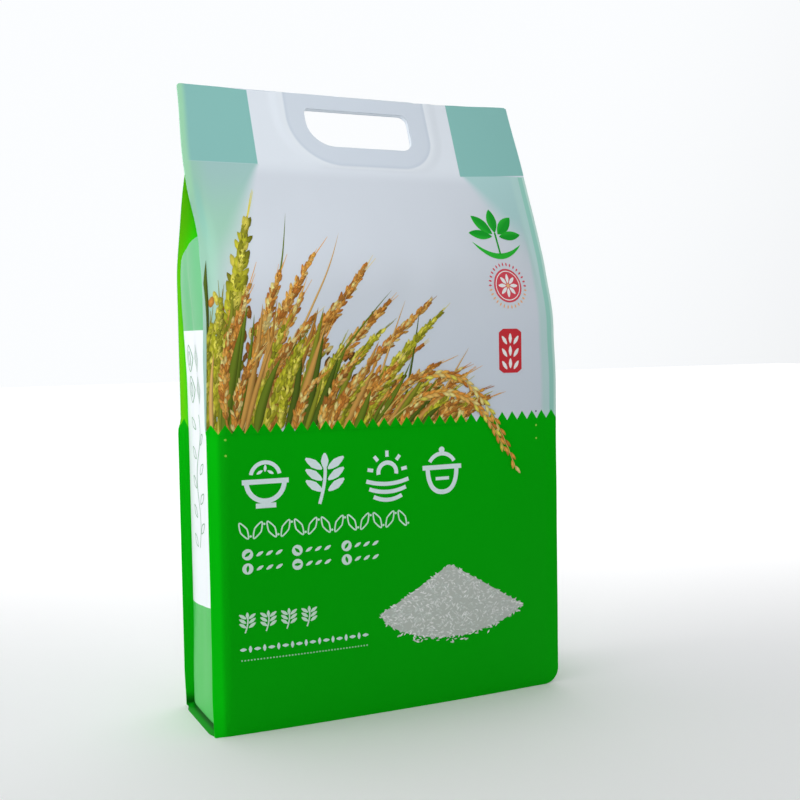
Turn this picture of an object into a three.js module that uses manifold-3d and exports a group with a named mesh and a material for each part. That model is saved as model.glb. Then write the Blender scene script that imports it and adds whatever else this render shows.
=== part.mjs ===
// A flat-bottom rice sack of frosted film: two broad panels, two gusseted sides,
// a fin seal down each of the four upright edges, and a flat top seal that leans
// back and holds a plastic carry handle between its two films.
// Millimetres, +Z up. The front panel faces -Y. The origin is the middle of the base.

import * as THREE from "three";
import { mergeVertices } from "three/addons/utils/BufferGeometryUtils.js";
import Module from "manifold-3d";

const wasm = await Module();
wasm.setup();

// The sack
const width = 250;             // fin tip to fin tip
const depth = 72;              // front fins to back fins
const finWidth = 8;
const finThick = 1;
const bandStart = 359;         // height where the flat top seal begins
const bandLength = 55.4;       // along the film
const bandLean = THREE.MathUtils.degToRad(22.2);
const bandWidth = 245;
const bandMidY = 4;            // middle of the film where the seal begins
const filmThick = 1.6;         // the sealed films with the gusset folded between them
const topCornerRadius = 4;

// The fill
const panelSwell = 4;          // how far the middle of a broad panel stands out
const frontShoulderEdge = 262; // height where the front begins to slope, at its fins
const frontShoulderMid = 290;  // and in its middle
const backShoulderEdge = 297;
const backShoulderMid = 303;
const shoulderTurn = 14;       // half the height over which a panel turns
const sideSwellFoot = 3;       // how far the middle of a side stands out past the fin roots
const sideSwellMid = 5.5;
const sideSwellTop = 7.5;      // near the top of the rice, where the whole side is full
const foldLine = 1.5;          // depth of the line down the middle of a side
const fillTop = 311;           // top of the rice at the middle of a side
const fillDrop = 12;           // how much lower it is beside the fins
const apex = 350;              // the front and back fins meet here

// The base
const rimHeight = 5.5;         // sealed rim round the bottom of the sides
const rimLean = 2.5;           // how far its upper edge lies inside its lower one
const creaseHeight = 7.5;      // crease above the rim
const creaseDepth = 2;
const footRadius = { left: 5, right: 11 };  // lower corners of the fins

// The handle, drawn in the plane of the top seal: x across, y up the film from where it begins
const handleThick = 2.4;
const handlePlay = 0.3;        // between the handle and the films
const coverThick = 0.7;        // film over each face of the handle
const coverMargin = 3;         // film welded down round the handle
const coverChamfer = 1.2;
const handleOutline = { left: -54, right: 56, bottom: 2.4, top: bandLength,
  radii: [38, 25, 13, 12] };
const holeOutline = { left: -37.5, right: 39, bottom: 15.5, top: 44,
  radii: [19, 8, 6, 3.5] };

// Fineness of the meshes
const panelSteps = 18;
const sideSteps = 10;
const arcSteps = 7;

const { clamp, lerp, smoothstep } = THREE.MathUtils;
const half = depth / 2;
const bandFrontY = bandMidY - filmThick / 2;
const bandBackY = bandMidY + filmThick / 2;

// Share of the way from upright to the top seal: 0 below the shoulder, then a straight slope to 1
function slopeShare(z, shoulder, end) {
  const past = z - shoulder;
  const rise = 1 / (end - shoulder);
  if (past < -shoulderTurn) return 0;
  if (past > shoulderTurn) return rise * past;
  return rise * (past + shoulderTurn) ** 2 / (4 * shoulderTurn);
}

// The rice pushes the panels out most between the floor and the middle of the sack
function swellAt(z) {
  return panelSwell * (0.6 + 0.4 * smoothstep(z, 0, 40)) * (1 - 0.25 * smoothstep(z, 120, 220));
}

function frontEdgeY(z) {
  return lerp(-half, bandFrontY, slopeShare(z, frontShoulderEdge, bandStart));
}

function frontMidY(z) {
  return lerp(-half - swellAt(z), bandFrontY, slopeShare(z, frontShoulderMid, bandStart));
}

function backEdgeY(z) {
  if (z >= apex) return frontEdgeY(z) + filmThick;
  return lerp(half, frontEdgeY(apex) + filmThick, slopeShare(z, backShoulderEdge, apex));
}

function backMidY(z) {
  return lerp(half + swellAt(z), bandBackY, slopeShare(z, backShoulderMid, bandStart));
}

function roundedEnd(distance, radius) {
  const inside = clamp(radius - distance, 0, radius);
  return radius - Math.sqrt(radius ** 2 - inside ** 2);
}

// How far the fin tips stand from the middle: less at the floor, at the top seal and at the top edge
function finTip(z, toTop, foot) {
  const drawnIn = (width - bandWidth) / 2 * smoothstep(z, frontShoulderEdge, bandStart);
  return width / 2 - drawnIn - roundedEnd(z, foot) - roundedEnd(toTop, topCornerRadius);
}

// How far a side stands from the middle at v, which runs from -1 at the front fin to 1 at the back fin
function sideReach(z, v, tip) {
  const rim = width / 2 - rimLean * z / rimHeight;
  if (z <= rimHeight) return lerp(rim, tip, smoothstep(Math.abs(v), 0.75, 1));
  const fullness = smoothstep(z, 180, 290);
  const crown = 1 - Math.abs(v) ** lerp(2, 4, fullness);
  const belly = lerp(sideSwellFoot, sideSwellMid, smoothstep(z, creaseHeight, 70));
  const swell = lerp(belly, sideSwellTop, fullness) * crown;
  const line = foldLine * Math.exp(-((v / 0.16) ** 2)) * smoothstep(z, creaseHeight, 60);
  const crease = creaseDepth * Math.exp(-(((z - creaseHeight) / 2) ** 2)) * crown;
  const mouth = (backEdgeY(z) - frontEdgeY(z)) / 2;
  const fold = Math.sqrt(Math.max(half ** 2 - mouth ** 2, 0)) * (1 - Math.abs(v));
  const fillEdge = fillTop - fillDrop * v * v;
  const inward = smoothstep(z, fillEdge - 5, fillEdge + 7);
  return tip - finWidth - crease + lerp(swell - line, -fold, inward);
}

// Puts a point of a section in its place: level in the body, square to the film in the top seal
function place(x, y, z, along) {
  if (along === 0) return new THREE.Vector3(x, y, z);
  const off = y - bandMidY;
  return new THREE.Vector3(
    x,
    bandMidY + along * Math.sin(bandLean) + off * Math.cos(bandLean),
    bandStart + along * Math.cos(bandLean) - off * Math.sin(bandLean)
  );
}

// One edge of a section, from the outer face of the front fin to that of the back fin.
// Above the apex nothing is left between the fins, so the inner points fall together.
function edgePoints(z, tip) {
  const front = frontEdgeY(z);
  const back = backEdgeY(z);
  const points = [[tip, front]];
  if (z < apex) points.push([tip, front + finThick]);
  for (let i = 0; i <= sideSteps; i += 1) {
    const t = i / sideSteps;
    if (z < apex) points.push([sideReach(z, 2 * t - 1, tip), lerp(front + finThick, back - finThick, t)]);
    else points.push([tip, (front + back) / 2]);
  }
  if (z < apex) points.push([tip, back - finThick]);
  points.push([tip, back]);
  while (points.length < sideSteps + 5) points.splice(1, 0, points[1]);
  return points;
}

// One closed section of the film, anticlockwise from above, at a distance up the film
function section(distance) {
  const z = Math.min(distance, bandStart);
  const along = Math.max(distance - bandStart, 0);
  const toTop = bandStart + bandLength - distance;
  const leftTip = finTip(z, toTop, footRadius.left);
  const rightTip = finTip(z, toTop, footRadius.right);
  const leftRoot = leftTip - finWidth;
  const rightRoot = rightTip - finWidth;
  const points = [];
  const panel = (from, to, edgeY, midY) => {
    for (let i = 0; i <= panelSteps; i += 1) {
      const x = lerp(from, to, i / panelSteps);
      const share = x / (x < 0 ? leftRoot : rightRoot);
      points.push([x, lerp(midY, edgeY, Math.abs(share) ** 2.5)]);
    }
  };
  panel(-leftRoot, rightRoot, frontEdgeY(z), frontMidY(z));
  points.push(...edgePoints(z, rightTip));
  panel(rightRoot, -leftRoot, backEdgeY(z), backMidY(z));
  points.push(...edgePoints(z, leftTip).toReversed().map(([x, y]) => [-x, y]));
  return points.map(([x, y]) => place(x, y, z, along));
}

function span(from, to, steps) {
  return Array.from({ length: steps }, (unused, i) => lerp(from, to, i / steps));
}

// Heights of the sections: close where the rim, the shoulders and the folds are
function levels() {
  return [
    ...span(0, rimHeight, 4),
    rimHeight,
    ...span(rimHeight + 1, creaseHeight + 4, 5),
    ...span(creaseHeight + 5, 60, 3),
    ...span(60, 240, 6),
    ...span(240, 300, 9),
    ...span(300, 324, 9),
    ...span(324, apex - 2, 5),
    apex - 2,
    apex,
    ...span(apex + 4, bandStart, 2),
    ...span(bandStart, bandStart + bandLength - topCornerRadius, 3),
    ...span(bandStart + bandLength - topCornerRadius, bandStart + bandLength, 3),
    bandStart + bandLength
  ];
}

// A cylinder whose rings are moved onto the sections
function filmGeometry() {
  const rings = levels().map(section);
  const around = rings[0].length;
  const steps = rings.length - 1;
  const geometry = new THREE.CylinderGeometry(1, 1, 1, around, steps);
  const position = geometry.attributes.position;
  for (let i = 0; i < position.count; i += 1) {
    const ring = rings[Math.round((position.getY(i) + 0.5) * steps)];
    const turn = Math.atan2(position.getX(i), position.getZ(i)) / (2 * Math.PI);
    const onAxis = Math.hypot(position.getX(i), position.getZ(i)) < 0.5;
    const point = onAxis ? middle(ring) : ring[Math.round((turn + 1) * around) % around];
    position.setXYZ(i, point.x, point.y, point.z);
  }
  return geometry;
}

function middle(ring) {
  return new THREE.Box3().setFromPoints(ring).getCenter(new THREE.Vector3());
}

// A rectangle with a radius of its own at each corner, anticlockwise from the lower left
function roundedOutline(outline, grow, target) {
  const { left, right, bottom, top, radii } = outline;
  const [lowerLeft, lowerRight, upperRight, upperLeft] = radii.map(radius => radius + grow);
  const quarter = Math.PI / 2;
  const corners = [
    [left - grow + lowerLeft, bottom - grow + lowerLeft, lowerLeft],
    [right + grow - lowerRight, bottom - grow + lowerRight, lowerRight],
    [right + grow - upperRight, top + grow - upperRight, upperRight],
    [left - grow + upperLeft, top + grow - upperLeft, upperLeft]
  ];
  corners.forEach(([x, y, radius], i) => {
    target.absarc(x, y, radius, (i + 2) * quarter, (i + 3) * quarter, false);
  });
  return target;
}

function plate(shape, thick, chamfer) {
  const geometry = new THREE.ExtrudeGeometry(shape, {
    depth: thick - 2 * chamfer,
    curveSegments: arcSteps,
    bevelEnabled: chamfer > 0,
    bevelThickness: chamfer,
    bevelSize: chamfer,
    bevelOffset: -chamfer,
    bevelSegments: 1
  });
  return geometry.translate(0, 0, chamfer - thick / 2);
}

// The frame of the top seal: x across, y up the film, z out of its front
const bandPlace = new THREE.Object3D();
bandPlace.position.set(0, bandMidY, bandStart);
bandPlace.rotation.x = Math.PI / 2 - bandLean;
bandPlace.updateMatrix();

function toSolid(geometry) {
  const bare = geometry.clone();
  bare.deleteAttribute("normal");
  bare.deleteAttribute("uv");
  const merged = mergeVertices(bare, 1e-5);
  const corners = merged.index.array;
  const kept = [];
  for (let i = 0; i < corners.length; i += 3) {
    const [a, b, c] = corners.slice(i, i + 3);
    if (a !== b && b !== c && c !== a) kept.push(a, b, c);
  }
  const vertProperties = new Float32Array(merged.attributes.position.array);
  return new wasm.Manifold(new wasm.Mesh({ numProp: 3, vertProperties, triVerts: new Uint32Array(kept) }));
}

function toGeometry(solid) {
  const mesh = solid.getMesh();
  const geometry = new THREE.BufferGeometry();
  geometry.setAttribute("position", new THREE.BufferAttribute(mesh.vertProperties, 3));
  geometry.setIndex(new THREE.BufferAttribute(mesh.triVerts, 1));
  geometry.computeVertexNormals();
  return geometry;
}

function onBand(geometry) {
  return toSolid(geometry.applyMatrix4(bandPlace.matrix));
}

// The film with the raised cover over the handle, the pocket for the handle and the hand hole
function makeSack() {
  const coverDepth = handleThick + 2 * (handlePlay + coverThick);
  const pocketDepth = handleThick + 2 * handlePlay;
  const raised = { ...handleOutline, top: bandLength + 2 * coverMargin };
  const cover = onBand(plate(roundedOutline(raised, coverMargin, new THREE.Shape()), coverDepth, coverChamfer));
  const pocket = onBand(plate(roundedOutline(raised, handlePlay, new THREE.Shape()), pocketDepth, 0));
  const hole = onBand(plate(roundedOutline(holeOutline, 0, new THREE.Shape()), 4 * coverDepth, 0));
  const above = onBand(new THREE.BoxGeometry(width, width, width).translate(0, bandLength + width / 2, 0));
  const solid = toSolid(filmGeometry()).add(cover).subtract(above).subtract(pocket).subtract(hole);
  const material = new THREE.MeshStandardMaterial({ color: 0x068c0a, roughness: 0.42, metalness: 0 });
  return new THREE.Mesh(toGeometry(solid), material);
}

function makeHandle() {
  const shape = roundedOutline(handleOutline, 0, new THREE.Shape());
  shape.holes.push(roundedOutline(holeOutline, 0, new THREE.Path()));
  const material = new THREE.MeshStandardMaterial({ color: 0xc8d3de, roughness: 0.4, metalness: 0 });
  const mesh = new THREE.Mesh(plate(shape, handleThick, 0), material);
  mesh.position.copy(bandPlace.position);
  mesh.rotation.copy(bandPlace.rotation);
  return mesh;
}

const sack = makeSack();
sack.name = "sack";
const handle = makeHandle();
handle.name = "handle";

const riceSack = new THREE.Group();
riceSack.name = "rice_sack";
riceSack.add(sack, handle);

export default riceSack;
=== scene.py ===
import math
import random

import bmesh
import bpy
from mathutils import Matrix, Vector, noise


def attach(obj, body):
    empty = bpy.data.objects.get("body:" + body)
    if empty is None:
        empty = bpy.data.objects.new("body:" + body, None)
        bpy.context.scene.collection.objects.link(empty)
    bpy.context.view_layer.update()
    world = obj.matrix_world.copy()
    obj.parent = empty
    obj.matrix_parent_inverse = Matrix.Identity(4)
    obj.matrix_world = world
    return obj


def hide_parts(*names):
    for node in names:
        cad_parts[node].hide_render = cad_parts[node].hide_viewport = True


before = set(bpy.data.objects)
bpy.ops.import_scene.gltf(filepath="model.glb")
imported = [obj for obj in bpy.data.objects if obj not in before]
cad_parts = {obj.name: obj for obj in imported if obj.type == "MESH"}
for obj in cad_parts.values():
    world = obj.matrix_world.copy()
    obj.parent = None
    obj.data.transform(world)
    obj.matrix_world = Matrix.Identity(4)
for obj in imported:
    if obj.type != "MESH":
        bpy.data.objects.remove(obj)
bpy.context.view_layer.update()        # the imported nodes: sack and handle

mm = 0.001               # lengths below are millimetres

# The filled pack. Up is measured along the film, so that it goes on through the leaning top seal.
pack = {
    "width": 250,        # fin tip to fin tip
    "depth": 72,         # front fins to back fins
    "finWidth": 8,
    "finThick": 0.6,
    "finSlope": ((0.46, 0.44), (0.0, 0.04)),     # how the fins bend back: left front and back, right
    "finCurve": (6, 13),                         # full bend this near the tip, none past this
    "sealStart": 359,
    "sealLength": 55.4,
    "sealLean": math.radians(22.2),
    "sealMiddle": 4,
    "filmThick": 1.6,    # of the two films in the seal together
    "topCorner": 1.6,
    "swell": 4,
    "frontShoulder": (262, 290),     # where the panel begins to slope, at its fins and in its middle
    "backShoulder": (297, 303),
    "shoulderTurn": 14,
    "sideSwell": (4.3, 3.0, 6.9),    # foot, middle and top of the rice
    "foldLine": 1.5,
    "fillTop": 309,
    "fillDrop": (9, 5),  # towards the back, and towards both folds
    "apex": 350,
    "rimHeight": 2.2,    # the sealed rim round the foot lies almost flat
    "creaseHeight": 3.2,
    "creaseDepth": 1.8,
    "creaseWidth": 1.0,
    "footRadius": (0.6, 11),           # left and right
}

# Reach of the fins to the left and right, and how it changes between two heights up the film
outline = {
    "start": (123.4, 125),
    "changes": (
        (185, 193, -1.9, 0), (215, 250, 0, -1.3), (270, 305, 0, 1.6), (300, 345, 2.9, 0),
        (318, 359, 0, -0.7), (359, 414.4, -2.5, -1.9),
    ),
    # what the left front fin has beside: the first is at the foot, the rest change it
    "frontLeft": (
        (-1, 0, 0.6), (0, 60, -0.5), (185, 193, 2.7), (230, 262, -0.9), (255, 292, -2.2),
        (290, 312, -1.1), (315, 345, 1.4),
    ),
    "root": (262, 359, -2.5),
    "topLine": (
        (-122, 1.3), (-96, 0.1), (-20, -0.1), (12, -1.0), (36, -1.2), (62, -0.3), (82, 0.5), (122, 2.0),
    ),
}

# The carry handle in the plane of the seal: x across, y up from where the seal begins
handleShape = {
    "left": -54, "right": 56, "bottom": 2.4, "top": 55.4,
    "radii": (38, 25, 13, 12),       # lower left, lower right, upper right, upper left
    "hole": {"left": -37.5, "right": 39, "bottom": 15.5, "top": 44, "radii": (19, 8, 6, 3.5)},
    "cover": 0.8,                    # how far the film is raised over it
    "coverEdge": 8,
    "pocket": 3.0,
    "play": 0.3,
    "openTop": 6,                    # the pocket is open at the top edge, so its cutter stands out of it
    "holeDepth": 20,
    "cornerSteps": 10,
}


def lerp(a, b, t):
    return a + (b - a) * t


def smooth(value, low, high):
    t = min(max((value - low) / (high - low), 0), 1)
    return t * t * (3 - 2 * t)


def slopeShare(z, shoulder, end):
    turn = pack["shoulderTurn"]
    past = z - shoulder
    rise = 1 / (end - shoulder)
    if past < -turn:
        return 0
    if past > turn:
        return rise * past
    return rise * (past + turn) ** 2 / (4 * turn)


# Both panels are slack at the foot, fullest low down and flatter above
def swellAt(z):
    return pack["swell"] * (0.6 + 0.4 * smooth(z, 0, 40)) * (1 - 0.25 * smooth(z, 120, 220))


def frontEdge(z):
    front = pack["sealMiddle"] - pack["filmThick"] / 2
    return lerp(-pack["depth"] / 2, front, slopeShare(z, pack["frontShoulder"][0], pack["sealStart"]))


def backEdge(z):
    thick = pack["filmThick"]
    if z >= pack["apex"]:
        return frontEdge(z) + thick
    share = slopeShare(z, pack["backShoulder"][0], pack["apex"])
    return lerp(pack["depth"] / 2, frontEdge(pack["apex"]) + thick, share)


# The middle of the front (face -1) or the back (face 1)
def panelMiddle(face, z):
    shoulder = pack["frontShoulder" if face < 0 else "backShoulder"][1]
    closed = pack["sealMiddle"] + face * pack["filmThick"] / 2
    share = slopeShare(z, shoulder, pack["sealStart"])
    return lerp(face * (pack["depth"] / 2 + swellAt(z)), closed, share)


def roundedEnd(distance, radius):
    inside = min(max(radius - distance, 0), radius)
    return radius - math.sqrt(radius ** 2 - inside ** 2)


def drawnIn(up, right):
    toTop = pack["sealStart"] + pack["sealLength"] - up
    return roundedEnd(up, pack["footRadius"][right]) + roundedEnd(toTop, pack["topCorner"])


def finTip(up, right, face=1):
    reach = outline["start"][right]
    for change in outline["changes"]:
        reach += change[2 + right] * smooth(up, change[0], change[1])
    if face < 0 and not right:
        reach += sum(change * smooth(up, low, high) for low, high, change in outline["frontLeft"])
    return reach - drawnIn(up, right)


def finRoot(up, right):
    low, high, change = outline["root"]
    return pack["width"] / 2 - pack["finWidth"] + change * smooth(up, low, high) - drawnIn(up, right)


# The top edge isn't quite straight: the seal is a little longer towards its ends
def topRise(x, along):
    if along <= 0:
        return 0
    share = smooth(along, 0, pack["sealLength"])
    for (x1, rise1), (x2, rise2) in zip(outline["topLine"], outline["topLine"][1:]):
        if x <= x2:
            break
    return share * lerp(rise1, rise2, smooth(x, x1, x2))


def fillEdge(v):
    toBack, toFolds = pack["fillDrop"]
    return pack["fillTop"] - toBack * v - toFolds * v * v


# How far a side stands from the middle, at v from -1 at the front fin to 1 at the back fin
def sideReach(z, v, tip, root):
    half = pack["depth"] / 2
    foot, middle, top = pack["sideSwell"]
    if z <= pack["rimHeight"]:
        outer = lerp(pack["width"] / 2, tip, smooth(abs(v), 0.7, 1))
        crown = 1 - abs(v) ** 5
        inner = root + foot * crown - pack["creaseDepth"] * 0.37 * crown ** 0.3
        return lerp(outer, inner, z / pack["rimHeight"])
    fullness = smooth(z, 180, 290)
    crown = 1 - abs(v) ** lerp(lerp(5, 2, smooth(z, 25, 80)), 4, fullness)
    belly = lerp(foot, middle, smooth(z, pack["creaseHeight"], 70))
    swell = lerp(belly, top, fullness) * crown
    line = pack["foldLine"] * math.exp(-((v / 0.16) ** 2)) * (0.25 + 0.75 * smooth(z, 150, 200))
    line *= smooth(z, pack["creaseHeight"], 60)
    line *= 1 - 0.8 * smooth(z, fillEdge(v) - 45, fillEdge(v) - 8)
    past = (z - pack["creaseHeight"]) / pack["creaseWidth"]
    crease = pack["creaseDepth"] * math.exp(-(past ** 2)) * crown ** 0.3
    mouth = (backEdge(z) - frontEdge(z)) / 2
    fold = math.sqrt(max(half ** 2 - mouth ** 2, 0)) * (1 - abs(v))
    inward = smooth(z, fillEdge(v) - 5, fillEdge(v) + 7)
    return root - crease + lerp(swell - line, -fold, inward)


# Puts a point of a level section in its place, square to the film in the top seal
def inPlace(x, y, z, along):
    off = y - pack["sealMiddle"]
    if along <= 0:
        return Vector((x, y, z))
    along += topRise(x, along)
    lean = pack["sealLean"]
    return Vector((
        x,
        pack["sealMiddle"] + along * math.sin(lean) + off * math.cos(lean),
        pack["sealStart"] + along * math.cos(lean) - off * math.sin(lean),
    ))


corners = ((-1, -1), (1, -1), (1, 1), (-1, 1))      # across and up, in the order of a shape's radii


# Distance from a rounded rectangle, below 0 inside it, of numbers or of shader fields
def fromOutline(shape, x, y, most=max, least=min):
    away = []
    for (across, over), radius in zip(corners, shape["radii"]):
        out = across * (x - (shape["right"] if across > 0 else shape["left"])) + radius
        rise = over * (y - (shape["top"] if over > 0 else shape["bottom"])) + radius
        corner = (most(out, 0) ** 2 + most(rise, 0) ** 2) ** 0.5
        away.append(least(most(out, rise), 0) + corner - radius)
    return most(most(away[0], away[1]), most(away[2], away[3]))


# The film stands up over the handle, up to the top edge
def coverHeight(x, along):
    if along <= 0:
        return 0
    away = fromOutline({**handleShape, "top": 2 * pack["sealLength"]}, x, along)
    return handleShape["cover"] * (1 - smooth(away, 0.4, handleShape["coverEdge"]))


relief = {
    "dents": 0.45,           # broad soft dents where the rice presses
    "dentSize": (46, 60),
    "shoulder": 0.5,         # puckers where the film leaves the rice
    "shoulderSize": (17, 44),
    "wave": 0.35,            # wave along the fins
    "waveSize": 38,
}


# Small unevenness of the film, out of its plane
def unevenness(face, x, up, share):
    def ripple(size, seed):
        return noise.noise(Vector((x / size[0], up / size[1], seed)))

    calm = 1 - share ** 4
    broad = ripple(relief["dentSize"], 3.7 * face) * smooth(up, 5, 40) * (1 - smooth(up, 300, 356))
    fine = ripple(relief["shoulderSize"], 9.1 + face) * smooth(up, 235, 290) * (1 - smooth(up, 330, 357))
    return calm * (relief["dents"] * broad + relief["shoulder"] * fine)


# A spot on the front (face -1) or back (face 1) of the pack, fins included
def panelSpot(face, x, up):
    z = min(up, pack["sealStart"])
    along = max(up - pack["sealStart"], 0)
    share = min(abs(x) / finRoot(up, x > 0), 1)
    edge = frontEdge(z) if face < 0 else backEdge(z)
    y = lerp(panelMiddle(face, z), edge, share ** 2.5)
    y += face * (unevenness(face, x, up, share) + coverHeight(x, along))
    return inPlace(x, y + finLean(face, x, up), z, along)


# How far back a fin stands: it bends away from its root and is waved a little
def finLean(face, x, up):
    near, far = pack["finCurve"]
    fromTip = finTip(up, x > 0, face) - abs(x)
    if fromTip > far:
        return 0
    t = max((fromTip - near) / (far - near), 0)
    turned = (far - near) * (0.5 - t + t ** 3 - t ** 4 / 2) + max(near - fromTip, 0)
    slope = pack["finSlope"][x > 0][face > 0] * lerp(0.3, 1, smooth(up, 0, 25))
    wave = relief["wave"] * noise.noise(Vector((up / relief["waveSize"], 7 if x > 0 else 2, face)))
    free = 1 - smooth(up, 300, pack["apex"] - 4)
    return free * (slope * turned + wave * (1 - t) * smooth(up, 3, 30))


# Where the side's film begins behind the front fin, and ends before the back fin
def sideEdges(side, z):
    fold = side * finRoot(z, side > 0)
    thick = pack["finThick"]
    return frontEdge(z) + thick + finLean(-1, fold, z), backEdge(z) - thick + finLean(1, fold, z)


def panelPlace(face, x, up, lift):
    step = 0.5
    spot = panelSpot(face, x, up)
    across = panelSpot(face, x + step, up) - spot
    upward = panelSpot(face, x, up + step) - spot
    return (spot - face * lift * across.cross(upward).normalized()) * mm


def linkNew(name, bm, materials):
    mesh = bpy.data.meshes.new(name)
    bm.to_mesh(mesh)
    bm.free()
    for material in materials:
        mesh.materials.append(material)
    piece = bpy.data.objects.new(name, mesh)
    bpy.context.scene.collection.objects.link(piece)
    return piece


# A method that adds a Math node fed with its values, or with them turned round
def nodeFor(operation, turned=False):
    def method(first, *others):
        values = (*others, first) if turned else (first, *others)
        return first.node("ShaderNodeMath", {"operation": operation}, dict(enumerate(values)))
    return method


# Shader maths: a Field wraps a socket, so that formulas on it add their Math nodes
class Field:
    __add__ = __radd__ = nodeFor("ADD")
    __mul__ = __rmul__ = nodeFor("MULTIPLY")
    __sub__, __rsub__ = nodeFor("SUBTRACT"), nodeFor("SUBTRACT", True)
    __truediv__, __rtruediv__ = nodeFor("DIVIDE"), nodeFor("DIVIDE", True)
    __pow__, __abs__ = nodeFor("POWER"), nodeFor("ABSOLUTE")
    fraction, least, most = nodeFor("FRACT"), nodeFor("MINIMUM"), nodeFor("MAXIMUM")

    def __init__(self, socket):
        self.socket = socket

    def node(self, kind, settings, sockets, output=0):
        return addNode(self.socket.id_data, kind, settings, sockets, output)

    # 0 at low, 1 at high, with soft ends
    def ramp(self, low, high):
        settings = {"interpolation_type": "SMOOTHSTEP"}
        return self.node("ShaderNodeMapRange", settings, {0: self, 1: low, 2: high, 3: 0, 4: 1})

    # 1 above 0 and 0 below it, over a width that keeps the printed edge from stepping
    def above(self, width=0.25):
        return (self / width + 0.5).least(1).most(0)

    def mix(self, low, high):
        settings = {"data_type": "RGBA"}
        return self.node("ShaderNodeMix", settings, {0: self, 6: low, 7: high}, 2)


def addNode(tree, kind, settings, sockets, output=0):
    made = tree.nodes.new(kind)
    for name, value in settings.items():
        setattr(made, name, value)
    for key, value in sockets.items():
        if isinstance(value, Field):
            tree.links.new(value.socket, made.inputs[key])
        else:
            made.inputs[key].default_value = value
    return Field(made.outputs[output])


# A colour as it is seen on a screen, made linear
def seen(red, green, blue):
    def straight(value):
        share = value / 255
        return share / 12.92 if share <= 0.04045 else ((share + 0.055) / 1.055) ** 2.4
    return (straight(red), straight(green), straight(blue), 1)


def newMaterial(name, paint):
    material = bpy.data.materials.new(name)
    material.use_nodes = True
    tree = material.node_tree
    tree.nodes.clear()
    output = tree.nodes.new("ShaderNodeOutputMaterial")
    surface = paint(tree)
    tree.links.new(surface.socket, output.inputs["Surface"])
    return material


# Across and up on the unrolled film, in millimetres
def filmPlace(tree):
    unrolled = addNode(tree, "ShaderNodeUVMap", {"uv_map": "film"}, {})
    across = unrolled.node("ShaderNodeSeparateXYZ", {}, {0: unrolled}, 0)
    up = unrolled.node("ShaderNodeSeparateXYZ", {}, {0: unrolled}, 1)
    return across * 1000, up * 1000


def grain(tree, size, detail=2, output=0):
    place = addNode(tree, "ShaderNodeTexCoord", {}, {}, 3)
    sockets = {"Vector": place, "Scale": 1 / (size * mm), "Detail": detail, "Roughness": 0.5}
    return addNode(tree, "ShaderNodeTexNoise", {}, sockets, output)


printColours = {
    "green": (0.0, 0.415, 0.002, 1),
    "frost": (0.66, 0.71, 0.775, 1),
    "touching": (0.645, 0.705, 0.785, 1),    # frosted film where it lies on the rice
    "seal": (0.765, 0.82, 0.885, 1),
    "gusset": (0.258, 0.54, 0.505, 1),     # the green gusset seen through the seal
    "gussetSoft": (0.40, 0.65, 0.64, 1),
    "gussetLeft": (0.335, 0.56, 0.53, 1),
    "gussetMint": (0.33, 0.62, 0.465, 1),
    "finTeal": (0.29, 0.62, 0.52, 1),
    "finShade": (0.46, 0.69, 0.66, 1),
    "finPale": (0.60, 0.80, 0.74, 1),
    "edgeMint": (0.38, 0.74, 0.46, 1),
    "ring": (0.655, 0.72, 0.80, 1),
    "ringEdge": (0.60, 0.67, 0.76, 1),
    "label": (0.86, 0.90, 0.93, 1),
    # painted light: a brighter, yellower green for the inner fins and the folded gusset, as if lit through
    # the film
    "litThroughGreen": (0.14, 0.60, 0.004, 1),
    "litThroughGreenDeep": (0.04, 0.74, 0.004, 1),
    "finGreen": (0.0, 0.42, 0.002, 1),
    # painted light: a brighter green on the left fins
    "finLitGreen": (0.0, 0.58, 0.003, 1),
    "rim": (0.0, 0.30, 0.004, 1),
    # painted shade: a dark green for the crease at the foot of the sides and fins
    "crease": (0.0, 0.12, 0.003, 1),
    # painted sheen: the side's green made paler and mintier, more so higher up
    "sideMintSheen": (0.117, 0.50, 0.20, 1),
    "sideGreenSheen": (0.03, 0.50, 0.06, 1),
    # painted highlight: lighter film where the raised cover round the handle catches the light
    "coverHighlight": (0.84, 0.89, 0.93, 1),         # raised film round the handle
    "speck": (0.12, 0.09, 0.05, 1),        # dark flecks in the inks
    "baseDeep": (0.0, 0.33, 0.01, 1),
    "inner": (0.68, 0.75, 0.83, 1),
    "innerDeep": (0.60, 0.68, 0.77, 1),
}

printPlaces = {
    "zigzag": 190.8,
    "teeth": 31,
    "toothHeight": 5.9,
    "gussetInner": (75.5, 72.2),     # inner edges of the gussets inside the seal, left and right
    "gussetOuter": 122,
    "gussetFoot": ((0, 0), (-1.9, 0.9)),     # their lower edges against the seal's: inner and outer end
    "gussetDrop": (115, 72),         # how far below the seal they show through the film
    "sealEdge": (1.5, 6),
    "finStrip": (1.8, 5.4, 11.5),    # pale edge, teal strip and soft shade of the right fin
    "finSoft": (3, 17),              # soft mint of the left fin
    # how far in the painted light on the left fins reaches
    "finBright": (4.5, 8),           # left fins: brighter up to here, plain green from there
    "touching": (225, 292),
    "labelHalf": 34.5,
    "labelBottom": 74.8,     # in the middle: the label is cut a little aslant
    "labelTop": 251.7,
}

# The handle as it shows through the film
ringTint = {"left": -51, "right": 53.5, "bottom": 1.2, "top": 80, "radii": (36, 24, 12, 11)}

filmFinish = {
    "roughness": 0.42,
    "ior": 1.12,
    "sideIor": 1.5,
    "grain": 0.35,
    "broadGrain": 30,
    "bump": 0.05,
    "bumpHeight": 0.2,
    "inkGrain": 1.2,
}


def zigzagMask(across, up):
    pitch = pack["width"] / printPlaces["teeth"]
    tooth = 1 - 2 * abs(((across + pack["width"] / 2) / pitch).fraction() - 0.5)
    return (printPlaces["zigzag"] + printPlaces["toothHeight"] * (tooth - 0.5) - up).above()


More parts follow.
